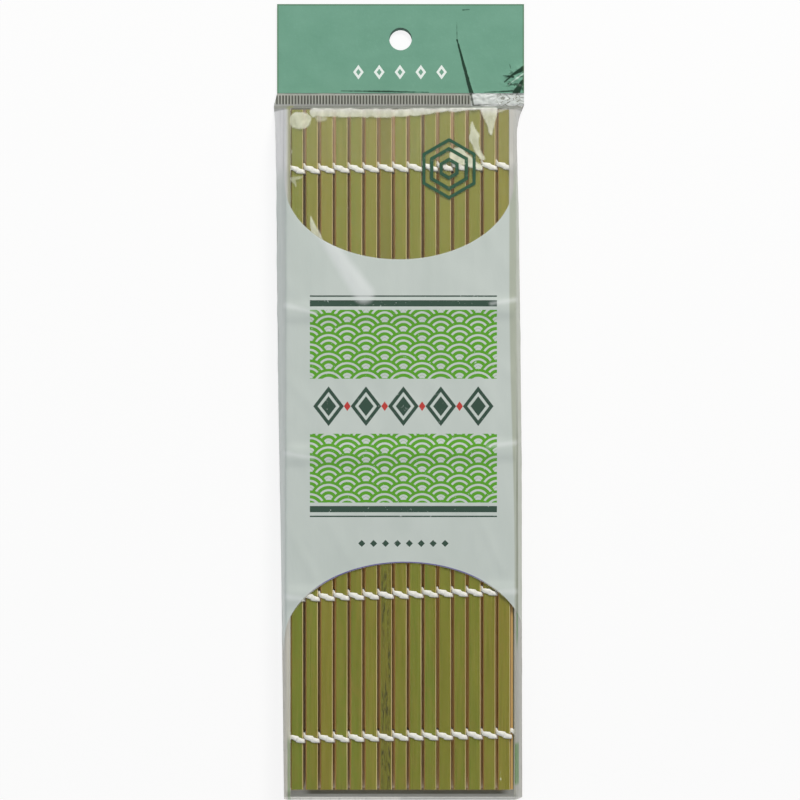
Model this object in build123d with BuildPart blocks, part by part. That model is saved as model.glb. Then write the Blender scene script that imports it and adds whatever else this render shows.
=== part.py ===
from build123d import *
import os
from math import hypot, sqrt

os.makedirs("parts", exist_ok=True)

# Green bamboo rolling mat, folded in three like a letter Z inside a hang bag of clear film.
# X runs across the slats, Y along them towards the bag's header, and Z up out of the table.
# All lengths are in millimetres. The origin is under the middle of the folded, bagged mat.

# Slats
slats_per_layer = 15
slat_length = 240.0
slat_width = 4.27
slat_gap = 0.95
slat_thickness = 1.2
slat_crown = 0.08
slat_eased_edge = 0.35

# Cords: five rows, each one cotton cord doubled round the first slat and twined to the last
cord_rows = 5
first_row_height = 18.6
last_row_depth = 20.6
strand_width = 1.6
strand_thickness = 0.45
strand_clearance = 0.04
strand_spacing = 0.06

# Bag
film_thickness = 0.12
mat_clearance = 0.3
side_margin = 2.6
mouth_overlap = 3.8
seal_margin = 2.2
end_clearance = 0.4
seal_height = 4.5
seal_plies_thickness = 0.3
rib_pitch = 1.1
rib_height = 0.15
header_overhang = 0.95
header_height = 31.7
header_thickness = 0.3
hang_hole_diameter = 8.0
hang_hole_drop = 12.4
cut_overrun = 1.0

# Sizes worked out from the values above
slat_pitch = slat_width + slat_gap
row_spacing = (slat_length - first_row_height - last_row_depth) / (cord_rows - 1)
half_gap = slat_gap / 2
half_width = slat_width / 2
half_thickness = slat_thickness / 2
strand_room = strand_thickness / 2 + strand_clearance
strand_height = half_thickness + strand_room

# At a fold the strand passes between two eased edges that face each other at 45 degrees,
# so each fold's hinge line lies this far to the inner side of the slats' middle plane.
fold_offset = sqrt(2) * strand_room - half_gap + half_thickness - slat_eased_edge
layer_spacing = slat_pitch + 2 * fold_offset

back_layer_z = film_thickness + mat_clearance + strand_room + strand_thickness / 2 + half_thickness
middle_layer_z = back_layer_z + layer_spacing
front_layer_z = middle_layer_z + layer_spacing
mat_top_z = front_layer_z + strand_height + strand_thickness / 2

left_fold_x = -slats_per_layer * slat_pitch / 2
right_fold_x = slats_per_layer * slat_pitch / 2
mat_half_width = right_fold_x + fold_offset + strand_height + strand_thickness / 2

pocket_width = 2 * (mat_half_width + side_margin)
pocket_length = mouth_overlap + slat_length + seal_margin
header_width = pocket_width + 2 * header_overhang

mouth_y = -(pocket_length + seal_height + header_height) / 2
seal_y = mouth_y + pocket_length
header_y = seal_y + seal_height
header_top_y = header_y + header_height
slat_low_y = mouth_y + mouth_overlap
slat_high_y = slat_low_y + slat_length


# Slat places

class SlatPlace:
    """Where one slat's centre line crosses the XZ plane, and which way the mat runs on from it."""

    def __init__(self, x, z, run_x, run_z):
        self.x = x
        self.z = z
        self.run_x = run_x
        self.run_z = run_z

    def point(self, along, up):
        """A point given along the mat and up from the slat's middle towards its green skin."""
        return (
            self.x + along * self.run_x + up * self.run_z,
            self.z + along * self.run_z - up * self.run_x,
        )

    def plane(self, y):
        """A plane across the slat, with its x along the mat and its y towards the green skin."""
        return Plane(origin=(self.x, y, self.z), x_dir=(self.run_x, 0, self.run_z), z_dir=(0, 1, 0))


def folded_places():
    """The slats in order, from the free edge of the back layer to that of the front layer."""
    steps = [(step + 0.5) * slat_pitch for step in range(slats_per_layer)]
    back = [SlatPlace(right_fold_x - step, back_layer_z, -1, 0) for step in steps]
    left_edge_z = back_layer_z + fold_offset + slat_pitch / 2
    left_edge = SlatPlace(left_fold_x - fold_offset, left_edge_z, 0, 1)
    middle = [SlatPlace(left_fold_x + step, middle_layer_z, 1, 0) for step in steps]
    right_edge_z = middle_layer_z + fold_offset + slat_pitch / 2
    right_edge = SlatPlace(right_fold_x + fold_offset, right_edge_z, 0, 1)
    front = [SlatPlace(right_fold_x - step, front_layer_z, -1, 0) for step in steps]
    return back + [left_edge] + middle + [right_edge] + front


places = folded_places()
slat_count = len(places)
left_edge_index = slats_per_layer
right_edge_index = 2 * slats_per_layer + 1


# Slats: a crowned green skin over a flat back, with all four long edges eased

skin_edge = half_thickness - slat_crown
eased_half_width = half_width - slat_eased_edge
eased_half_thickness = half_thickness - slat_eased_edge
slat_outline = [
    (-eased_half_width, skin_edge),
    (-half_width, skin_edge - slat_eased_edge),
    (-half_width, -eased_half_thickness),
    (-eased_half_width, -half_thickness),
    (eased_half_width, -half_thickness),
    (half_width, -eased_half_thickness),
    (half_width, skin_edge - slat_eased_edge),
    (eased_half_width, skin_edge),
]

for index, place in enumerate(places):
    with BuildPart() as slat:
        with BuildSketch(place.plane(slat_low_y)):
            with BuildLine():
                Polyline(*slat_outline)
                ThreePointArc(slat_outline[-1], (0, half_thickness), slat_outline[0])
            make_face()
        extrude(amount=slat_length)
    slat.part.label = f"slat_{index + 1:02d}"
    export_step(slat.part, f"parts/{slat.part.label}.step")


# Cords: each strand changes face and side in every gap, so the pair twists round the slats

# A strand slopes through a plain gap between two eased edges, with its ends square to the slats.
crossing_reach = half_gap * strand_height / (strand_room + half_thickness - slat_eased_edge)
fold_inner_reach = strand_height - fold_offset
fold_outer_reach = half_gap - strand_room
side_shift = (strand_width + strand_spacing) / 2
cord_end_along = half_width - strand_clearance
loop_reach = half_width + strand_room


class RoutePoint:
    """A point of the cord's middle line. Its section is square to run, or mitred if run is None."""

    def __init__(self, place, along, up, y, square=True):
        self.x, self.z = place.point(along, up)
        self.y = y
        self.run = (place.run_x, place.run_z) if square else None


def inner_face(index):
    """The face on the inside of the fold that touches this gap: 1 is the green skin, 0 is no fold."""
    if index in (left_edge_index - 1, left_edge_index):
        return 1
    if index in (right_edge_index - 1, right_edge_index):
        return -1
    return 0


def gap_points(index, face):
    """The strand's points in the gap after a slat, when it lies on the given face of that slat."""
    near = places[index]
    far = places[index + 1]
    y = face * side_shift
    height = face * strand_height
    hinge_along = slat_pitch / 2
    inside = inner_face(index)
    if inside == 0:
        return [
            RoutePoint(near, hinge_along - crossing_reach, height, y),
            RoutePoint(far, crossing_reach - hinge_along, -height, y),
        ]
    near_reach = fold_inner_reach if face == inside else fold_outer_reach
    far_reach = fold_outer_reach if face == inside else fold_inner_reach
    return [
        RoutePoint(near, hinge_along - near_reach, height, y, square=False),
        RoutePoint(near, hinge_along, inside * fold_offset, y, square=False),
        RoutePoint(far, far_reach - hinge_along, -height, y, square=False),
    ]


def strand_route(first_face):
    """One strand from the outer edge of the first slat to the outer edge of the last."""
    face = first_face
    height = face * strand_height
    route = [RoutePoint(places[0], -loop_reach, height, -face * side_shift, square=False)]
    for index in range(slat_count - 1):
        route += gap_points(index, face)
        face = -face
    height = face * strand_height
    route.append(RoutePoint(places[-1], cord_end_along, height, face * side_shift))
    return route


def direction(start, end):
    """The unit direction in the XZ plane from one route point to the next."""
    length = hypot(end.x - start.x, end.z - start.z)
    return (end.x - start.x) / length, (end.z - start.z) / length


cord_route = strand_route(-1)[::-1] + strand_route(1)


def cord_sections():
    """Each route point with the way its section faces and the section's thickness there."""
    runs = [direction(start, end) for start, end in zip(cord_route, cord_route[1:])]
    before = [runs[0]] + runs
    after = runs + [runs[-1]]
    for point, into, out in zip(cord_route, before, after):
        mitre = (into[0] + out[0], into[1] + out[1])
        if point.run is None:
            half_turn_cosine = hypot(*mitre) / 2
            yield point, (mitre[0], 0, mitre[1]), strand_thickness / half_turn_cosine
        else:
            way = 1 if mitre[0] * point.run[0] + mitre[1] * point.run[1] > 0 else -1
            yield point, (way * point.run[0], 0, way * point.run[1]), strand_thickness


for row in range(cord_rows):
    row_y = slat_low_y + first_row_height + row * row_spacing
    with BuildPart() as cord:
        for point, heading, thickness in cord_sections():
            origin = (point.x, row_y + point.y, point.z)
            section = Plane(origin=origin, x_dir=(0, 1, 0), z_dir=heading)
            with BuildSketch(section):
                Rectangle(strand_width, thickness)
        loft(ruled=True)
    cord.part.label = f"cord_row_{row + 1}"
    export_step(cord.part, f"parts/{cord.part.label}.step")


# Bag: a flat back film, a raised front film, the crimped seal and the header above it

pocket_middle_y = (mouth_y + seal_y) / 2

with BuildPart() as back_film:
    with BuildSketch():
        with Locations((0, pocket_middle_y)):
            Rectangle(pocket_width, pocket_length)
    extrude(amount=film_thickness)
back_film.part.label = "back_film"
export_step(back_film.part, "parts/back_film.step")


film_inner_top_z = mat_top_z + mat_clearance
film_outer_top_z = film_inner_top_z + film_thickness
film_top_high_y = slat_high_y + end_clearance
shoulder_width = 2 * (mat_half_width + mat_clearance + film_thickness)
inner_low_y = mouth_y - cut_overrun

# Each level of the raised pocket: its height, width and reach along Y, outside and inside the film
outer_levels = [
    (film_thickness, pocket_width, mouth_y, seal_y),
    (film_outer_top_z, shoulder_width, mouth_y, film_top_high_y + film_thickness),
]
inner_levels = [
    (film_thickness, pocket_width - 2 * film_thickness, inner_low_y, seal_y - film_thickness),
    (film_inner_top_z, shoulder_width - 2 * film_thickness, inner_low_y, film_top_high_y),
]

with BuildPart() as front_film:
    for z, width, low_y, high_y in outer_levels:
        with BuildSketch(Plane.XY.offset(z)):
            with Locations((0, (low_y + high_y) / 2)):
                Rectangle(width, high_y - low_y)
    loft(ruled=True)
    for z, width, low_y, high_y in inner_levels:
        with BuildSketch(Plane.XY.offset(z)):
            with Locations((0, (low_y + high_y) / 2)):
                Rectangle(width, high_y - low_y)
    loft(ruled=True, mode=Mode.SUBTRACT)
front_film.part.label = "front_film"
export_step(front_film.part, "parts/front_film.step")


rib_count = int(header_width / rib_pitch)
rib_step = header_width / rib_count
rib_low_z = seal_plies_thickness
rib_high_z = seal_plies_thickness + rib_height

with BuildPart() as crimp_seal:
    rib_line = [(-header_width / 2, 0), (-header_width / 2, rib_low_z)]
    for rib in range(rib_count):
        rib_x = rib * rib_step - header_width / 2
        rib_line += [(rib_x + rib_step / 2, rib_high_z), (rib_x + rib_step, rib_low_z)]
    rib_line.append((header_width / 2, 0))
    with BuildSketch(Plane.XZ.offset(-seal_y)):
        with BuildLine():
            Polyline(*rib_line, close=True)
        make_face()
    extrude(amount=-seal_height)
crimp_seal.part.label = "crimp_seal"
export_step(crimp_seal.part, "parts/crimp_seal.step")


with BuildPart() as header:
    with BuildSketch():
        with Locations((0, (header_y + header_top_y) / 2)):
            Rectangle(header_width, header_height)
        with Locations((0, header_top_y - hang_hole_drop)):
            Circle(hang_hole_diameter / 2, mode=Mode.SUBTRACT)
    extrude(amount=header_thickness)
header.part.label = "header"
export_step(header.part, "parts/header.step")


# Figures printed for whoever places the joints, mounts and cords

unfold_lines = {
    "left fold, back layer": (left_fold_x, back_layer_z + fold_offset),
    "left fold, middle layer": (left_fold_x, middle_layer_z - fold_offset),
    "right fold, middle layer": (right_fold_x, middle_layer_z + fold_offset),
    "right fold, front layer": (right_fold_x, front_layer_z - fold_offset),
}
for name, (x, z) in unfold_lines.items():
    print(f"hinge line {name}: x {x:.3f}, z {z:.3f}")
print(f"layers at z {back_layer_z:.3f}, {middle_layer_z:.3f}, {front_layer_z:.3f}")
print(f"slats from y {slat_low_y:.3f} to {slat_high_y:.3f}, pitch {slat_pitch:.3f}")
print(f"hang hole centre y {header_top_y - hang_hole_drop:.3f}, bag top z {film_outer_top_z:.3f}")

cord_length = sum(
    sqrt((end.x - start.x) ** 2 + (end.y - start.y) ** 2 + (end.z - start.z) ** 2)
    for start, end in zip(cord_route, cord_route[1:])
)
print(f"cord length in one row {cord_length:.1f}, {len(cord_route)} route points")
section_volume = cord_length * strand_width * strand_thickness
print(f"section times length {section_volume:.1f}, modelled volume {cord.part.volume:.1f}")
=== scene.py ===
"""A bamboo rolling mat, folded in three in its clear hang bag, in a plain studio."""

import logging
import math
from dataclasses import dataclass, field
from enum import Enum
from functools import reduce
from typing import Callable, Iterable, Optional, Sequence, Union

import bpy
import numpy as np
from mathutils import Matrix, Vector, noise


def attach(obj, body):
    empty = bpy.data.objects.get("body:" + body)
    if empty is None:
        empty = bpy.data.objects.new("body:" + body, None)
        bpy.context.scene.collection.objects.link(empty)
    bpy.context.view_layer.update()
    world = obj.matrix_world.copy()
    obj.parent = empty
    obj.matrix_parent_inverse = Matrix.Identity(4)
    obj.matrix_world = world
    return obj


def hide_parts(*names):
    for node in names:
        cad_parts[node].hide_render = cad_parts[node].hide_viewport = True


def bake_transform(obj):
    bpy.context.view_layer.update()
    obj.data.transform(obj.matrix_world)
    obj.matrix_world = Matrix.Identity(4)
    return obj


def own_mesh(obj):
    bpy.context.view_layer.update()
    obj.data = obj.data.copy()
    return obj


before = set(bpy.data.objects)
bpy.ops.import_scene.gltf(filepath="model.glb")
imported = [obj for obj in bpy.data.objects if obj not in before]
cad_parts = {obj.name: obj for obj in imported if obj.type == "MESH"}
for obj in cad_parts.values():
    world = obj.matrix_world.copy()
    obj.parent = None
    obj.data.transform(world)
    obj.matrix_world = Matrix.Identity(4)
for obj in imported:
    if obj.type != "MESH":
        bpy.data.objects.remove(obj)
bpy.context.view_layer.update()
LOG = logging.getLogger("rolling_mat")
MM = 0.001
SLAT_PITCH = 5.22
LAYER_SLATS = 15
LAYER_WIDTH = LAYER_SLATS * SLAT_PITCH
LAYER_EDGE = -LAYER_WIDTH / 2
# The slats that stand on edge in the folds, counted from 0.
LEFT_EDGE_SLAT = LAYER_SLATS
RIGHT_EDGE_SLAT = 2 * LAYER_SLATS + 1

Point = tuple[float, float, float]
Colour = tuple[float, float, float, float]
Paint = Union[Point, Colour, bpy.types.NodeSocket]


def srgb(red: float, green: float, blue: float) -> Colour:
    """The linear colour, with an alpha of 1, of display values from 0 to 255."""
    shares = [value / 255 for value in (red, green, blue)]
    parts = [s / 12.92 if s <= 0.04045 else ((s + 0.055) / 1.055) ** 2.4 for s in shares]
    return (parts[0], parts[1], parts[2], 1.0)


class Value:
    """A number in a material's nodes, with Python's arithmetic on it."""

    def __init__(self, nodes: "Nodes", socket: bpy.types.NodeSocket) -> None:
        """Wraps a socket of a node tree."""
        self.nodes = nodes
        self.socket = socket

    def math(self, operation: str, *others: "Number") -> "Value":
        """A Math node that starts with this number."""
        return self.nodes.math(operation, self, *others)

    def __add__(self, other: "Number") -> "Value":
        """The sum."""
        return self.math("ADD", other)

    __radd__ = __add__

    def __sub__(self, other: "Number") -> "Value":
        """The difference."""
        return self.math("SUBTRACT", other)

    def __rsub__(self, other: "Number") -> "Value":
        """The difference, the other way round."""
        return self.nodes.math("SUBTRACT", other, self)

    def __mul__(self, other: "Number") -> "Value":
        """The product."""
        return self.math("MULTIPLY", other)

    __rmul__ = __mul__

    def __truediv__(self, other: "Number") -> "Value":
        """The quotient."""
        return self.math("DIVIDE", other)

    def __abs__(self) -> "Value":
        """The size without its sign."""
        return self.math("ABSOLUTE")

    def low(self, other: "Number") -> "Value":
        """The lower of the two."""
        return self.math("MINIMUM", other)

    def high(self, other: "Number") -> "Value":
        """The higher of the two."""
        return self.math("MAXIMUM", other)

    def below(self, other: "Number") -> "Value":
        """1 where this number is below the other, else 0."""
        return self.math("LESS_THAN", other)

    def above(self, other: "Number") -> "Value":
        """1 where this number is above the other, else 0."""
        return self.math("GREATER_THAN", other)

    def within(self, start: float, end: float) -> "Value":
        """1 between two limits, else 0."""
        return self.above(start) * self.below(end)

    def over(self, limit: float, gain: float) -> "Value":
        """How far this number is over a limit, times a gain, else 0."""
        return (self - limit).high(0.0) * gain

    def under(self, limit: float, gain: float) -> "Value":
        """How far this number is under a limit, times a gain, else 0."""
        return (limit - self).high(0.0) * gain

    def hypot(self, other: "Value") -> "Value":
        """The length of a line with this number and the other as its two parts."""
        return (self * self + other * other).math("SQRT")

    def repeat(self, pitch: float) -> "Value":
        """How far this number is from the middle of its step, in steps of a pitch."""
        return abs((self / pitch).math("FRACT") - 0.5) * pitch

    def ramp(self, start: float, end: float) -> "Value":
        """A smooth rise from 0 at start to 1 at end; start may be the higher one."""
        if start < end:
            return self.nodes.smooth(self, start, end)
        return 1 - self.nodes.smooth(self, end, start)


Number = Union[Value, float, int]


class Nodes:
    """Builds one node tree."""

    def __init__(self, tree: bpy.types.NodeTree) -> None:
        """Empties the tree and keeps it."""
        self.tree = tree
        tree.nodes.clear()

    def node(
        self, kind: str, settings: Optional[dict] = None, sockets: Optional[dict] = None
    ) -> bpy.types.Node:
        """Adds any node.

        Args:
            kind: The node's type name.
            settings: Its own settings, set first.
            sockets: Values or links for its inputs, by name or number.

        Returns:
            The new node.
        """
        made = self.tree.nodes.new(kind)
        for name, value in (settings or {}).items():
            setattr(made, name, value)
        for name, value in (sockets or {}).items():
            socket = made.inputs[name]
            if isinstance(value, Value):
                self.tree.links.new(value.socket, socket)
            elif isinstance(value, bpy.types.NodeSocket):
                self.tree.links.new(value, socket)
            else:
                socket.default_value = value
        return made

    def math(self, operation: str, *terms: Number) -> Value:
        """A Math node on one to three numbers."""
        made = self.node("ShaderNodeMath", {"operation": operation}, dict(enumerate(terms)))
        return Value(self, made.outputs[0])

    def smooth(self, value: Value, start: float, end: float) -> Value:
        """A smooth rise from 0 at start to 1 at end."""
        sockets = {"Value": value, "From Min": start, "From Max": end}
        made = self.node("ShaderNodeMapRange", {"interpolation_type": "SMOOTHSTEP"}, sockets)
        return Value(self, made.outputs["Result"])

    def place(self) -> tuple[Value, Value, Value]:
        """The point's place in the piece, in millimetres."""
        split = self.node("ShaderNodeSeparateXYZ", None, {0: self.object_point()})
        x, y, z = (Value(self, socket) * (1 / MM) for socket in split.outputs)
        return x, y, z

    def object_point(self) -> bpy.types.NodeSocket:
        """The point's place in the piece, in metres, as a vector."""
        return self.node("ShaderNodeTexCoord").outputs["Object"]

    def grain(
        self, size: Union[Point, float], detail: float, seed: float, rough: float = 0.5
    ) -> Value:
        """Smooth noise from 0 to 1.

        Args:
            size: How long a fleck is in millimetres, along X, Y and Z or all ways.
            detail: How many finer layers it has.
            seed: Moves the pattern.
            rough: How strong the finer layers are.

        Returns:
            The noise.
        """
        lengths = size if isinstance(size, tuple) else (size, size, size)
        scale = tuple(1 / (length * MM) for length in lengths)
        start = (seed, seed * 0.7, 0.0)
        sockets = {"Vector": self.object_point(), "Scale": scale, "Location": start}
        moved = self.node("ShaderNodeMapping", None, sockets)
        sockets = {"Vector": moved.outputs[0], "Scale": 1.0, "Detail": detail, "Roughness": rough}
        return Value(self, self.node("ShaderNodeTexNoise", None, sockets).outputs[0])

    def chance(self, number: Value) -> Value:
        """A random number from 0 to 1 for each whole number."""
        made = self.node("ShaderNodeTexWhiteNoise", {"noise_dimensions": "1D"}, {"W": number})
        return Value(self, made.outputs["Value"])

    def mix(self, share: Number, first: Paint, second: Paint) -> bpy.types.NodeSocket:
        """The first colour turned into the second by a share; a triple has display values."""
        pair = [srgb(*c) if isinstance(c, tuple) and len(c) == 3 else c for c in (first, second)]
        sockets = {0: share, 6: pair[0], 7: pair[1]}
        return self.node("ShaderNodeMix", {"data_type": "RGBA"}, sockets).outputs[2]

    def paint(self, colour: Paint, *coats: tuple[Number, Paint]) -> Paint:
        """A colour under coats of other colours, each with its share."""
        for share, coat in coats:
            colour = self.mix(share, colour, coat)
        return colour

    def strokes(self, x: Value, y: Value, lines: Iterable["Stroke"], wobble: Number) -> Value:
        """The highest of several strokes."""
        return reduce(Value.high, [self.stroke(x, y, line, wobble) for line in lines])

    def stroke(self, x: Value, y: Value, line: "Stroke", wobble: Number) -> Value:
        """1 on a tapering stroke between two points, and 0 off it."""
        (ax, ay), (bx, by) = line.start, line.end
        dx, dy = bx - ax, by - ay
        along = (((x - ax) * dx + (y - ay) * dy) / (dx * dx + dy * dy)).high(0.0).low(1.0)
        away = (x - ax - along * dx).hypot(y - ay - along * dy) + wobble
        edge = along * (line.end_width - line.start_width) + line.start_width - away
        return edge.ramp(-line.soft, line.soft)


@dataclass(frozen=True)
class Stroke:
    """A tapering stroke, in millimetres: half widths at its ends, and how soft its edge is."""

    start: tuple[float, float]
    end: tuple[float, float]
    start_width: float
    end_width: float
    soft: float = 0.3


# ---- Finishes


class Finish:
    """The base of every finish: makes a material with one Principled shader."""

    name: str

    def dress(self, n: Nodes) -> dict:
        """Gives the shader's sockets."""
        raise NotImplementedError

    def bump(self, n: Nodes) -> Optional[tuple[Value, float]]:
        """Gives a height and its distance in millimetres, or None for an even surface."""
        return None

    def build(self) -> bpy.types.Material:
        """Makes the material."""
        material = bpy.data.materials.new(self.name)
        material.use_nodes = True
        nodes = Nodes(material.node_tree)
        sockets = self.dress(nodes)
        relief = self.bump(nodes)
        if relief:
            bumps = {"Height": relief[0], "Distance": relief[1] * MM}
            sockets["Normal"] = nodes.node("ShaderNodeBump", None, bumps).outputs[0]
        surface = nodes.node("ShaderNodeBsdfPrincipled", None, sockets)
        nodes.node("ShaderNodeOutputMaterial", None, {"Surface": surface.outputs[0]})
        return material


class SkinSide(Enum):
    """Which way the green skin of a layer's slats faces while the mat is folded."""

    UP = ("z", 1.0)
    DOWN = ("z", -1.0)
    RIGHT = ("x", 1.0)


@dataclass(frozen=True)
class BambooFinish(Finish):
    """Green skin on one side of each slat, pale cut wood on the others."""

    name: str
    side: SkinSide
    middle: float
    seed: float
    mottled_slat: float = -1.0

    def dress(self, n: Nodes) -> dict:
        """The colours and the gloss."""
        x, y, z = n.place()
        axis, sign = self.side.value
        flat = axis == "z"
        rise = ((z if flat else x) - self.middle) * sign
        slat = ((x - LAYER_EDGE) / SLAT_PITCH).math("FLOOR")
        fibre = n.grain((0.22, 26.0, 0.4), 3.0, self.seed, 0.6)
        broad = n.grain((3.0, 70.0, 3.0), 2.0, self.seed + 5.0)
        speck = n.grain((0.5, 1.1, 0.5), 2.0, self.seed + 9.0)
        dapple = n.grain((0.9, 5.0, 0.9), 3.0, self.seed + 13.0, 0.65)
        green = n.paint(
            n.mix(n.chance(slat + self.seed), (112, 125, 38), (134, 130, 46)),
            ((broad - 0.35) * 1.6, (124, 114, 30)),
            (dapple.over(0.46, 2.4), (140, 122, 54)),
            (fibre.over(0.45, 1.8), (154, 148, 64)),
            (fibre.under(0.47, 2.4), (78, 86, 14)),
            (n.chance(slat + self.seed + 31.0).below(0.25) * 0.18, (92, 122, 28)),
            (speck.over(0.58, 1.6), (104, 88, 32)),
            # Paler towards the upper end: a painted veil standing in for the light that the film's
            # milkiness scatters over the slats.
            ((y - 20.0).ramp(-60.0, 60.0) * 0.30, (164, 160, 84)),
        )
        if self.mottled_slat >= 0:
            here = abs(slat - self.mottled_slat).below(0.5)
            blot = n.grain((0.42, 3.0, 1.0), 4.0, 3.0, 0.75).ramp(0.46, 0.56)
            streak = n.grain((1.1, 16.0, 1.0), 2.0, 8.0).ramp(0.42, 0.58)
            low = (y + 58.0).ramp(2.0, -6.0) * abs(x + 5.2).ramp(2.0, 1.2)
            dark = here * low * blot * streak * 0.9
            green = n.paint(green, (here * 0.30, (118, 94, 38)), (dark, (44, 42, 22)))
        if flat:
            # Painted light on the cut walls: a painted highlight on each slat's right side near the
            # top, and painted shade lower down, deeper in the gaps.
            right = (x - LAYER_EDGE - (slat + 0.5) * SLAT_PITCH).above(0.0)
            cut = n.paint(
                n.mix(fibre, (156, 112, 54), (200, 164, 100)),
                (right * rise.ramp(-0.1, 0.3), (222, 208, 150)),
                ((broad - 0.4) * 1.2, (150, 102, 52)),
                (rise.ramp(0.1, -0.5) * 0.45, (120, 80, 38)),
            )
        else:
            cut = n.mix(fibre, (204, 160, 92), (236, 198, 134))
        edge = (n.grain((1.2, 40.0, 1.0), 1.0, self.seed + 2.0) - 0.5) * 0.30
        skin = (rise + edge).ramp(0.34, 0.50)
        return {
            "Base Color": n.mix(skin, cut, green),
            "Roughness": 0.62 - skin * 0.20 + (fibre - 0.5) * 0.12,
            "Specular IOR Level": 0.25,
        }

    def bump(self, n: Nodes) -> tuple[Value, float]:
        """Fine lines along the slats."""
        return n.grain((0.16, 22.0, 0.3), 3.0, self.seed + 1.0, 0.6), 0.09


@dataclass(frozen=True)
class CottonFinish(Finish):
    """Soft white cotton yarn."""

    name: str = "cotton_yarn"

    def dress(self, n: Nodes) -> dict:
        """Warm white with faint grey fibres."""
        fibre = n.grain((0.35, 0.16, 0.35), 3.0, 2.0, 0.7)
        white = n.mix(fibre, (234, 233, 222), (255, 254, 248))
        white = n.mix(n.grain(9.0, 2.0, 4.0).over(0.45, 0.8), white, (226, 225, 216))
        return {"Base Color": white, "Roughness": 0.85, "Sheen Weight": 0.25}

    def bump(self, n: Nodes) -> tuple[Value, float]:
        """The fibres' relief."""
        return n.grain((0.30, 0.12, 0.30), 3.0, 6.0, 0.7), 0.10


@dataclass(frozen=True)
class WavePanel:
    """The printed panel of plain waves between dark bars, in millimetres."""

    middle: tuple[float, float] = (1.0, -2.0)
    half_width: float = 33.0
    half_height: float = 34.0
    bar_gap: float = 1.2
    bar: float = 2.2
    thin_bar: tuple[float, float] = (4.6, 5.1)
    wave_radius: float = 6.6
    strip: float = 8.5
    lozenge_pitch: float = 13.2
    dot_pitch: float = 4.2
    dots_y: float = -50.4

    def waves(self, x: Value, y: Value) -> Value:
        """1 on the lines of overlapping round waves."""
        radius = self.wave_radius
        step = radius / 2
        lines: Number = 0.0
        covered: Number = 0.0
        base = (y / step).math("FLOOR")
        for back in (-1, 0, 1, 2):
            row = base + float(back)
            shift = row.math("FLOORED_MODULO", 2.0) * radius
            column = ((x - shift) / (2 * radius)).math("ROUND") * (2 * radius) + shift
            away = (x - column).hypot(y - row * step) / radius
            inside = away.below(1.0)
            rings = (away * 7.0).math("FLOORED_MODULO", 2.0).below(1.2) * away.above(0.16)
            lines = inside * (1 - covered) * rings + lines
            covered = inside.high(covered)
        return lines

    def masks(self, x: Value, y: Value) -> tuple[Value, Value, Value]:
        """Where the bright green, the dark green and the red ink lie."""
        px = x - self.middle[0]
        py = y - self.middle[1]
        across, up = abs(px), abs(py)
        panel = across.below(self.half_width) * up.below(self.half_height)
        wave = self.waves(px, py) * panel * (1 - up.below(self.strip + self.bar_gap))
        beyond = up - self.half_height
        bars = beyond.within(self.bar_gap, self.bar_gap + self.bar) + beyond.within(*self.thin_bar)
        pitch = self.lozenge_pitch
        column = (px / pitch).math("ROUND")
        size = abs(px - column * pitch) / 5.4 + up / 7.0
        lozenges = size.within(0.72, 1.0) + size.below(0.5)
        lozenges = lozenges * up.below(self.strip) * abs(column).below(2.5)
        red = (across.repeat(pitch) / 1.2 + up / 1.7).below(1.0) * across.below(2.2 * pitch)
        dots = (px.repeat(self.dot_pitch) / 1.25 + abs(y - self.dots_y) / 1.25).below(1.0)
        dots = dots * across.below(4.0 * self.dot_pitch)
        return wave, (bars * across.below(self.half_width) + lozenges + dots).low(1.0), red


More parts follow.
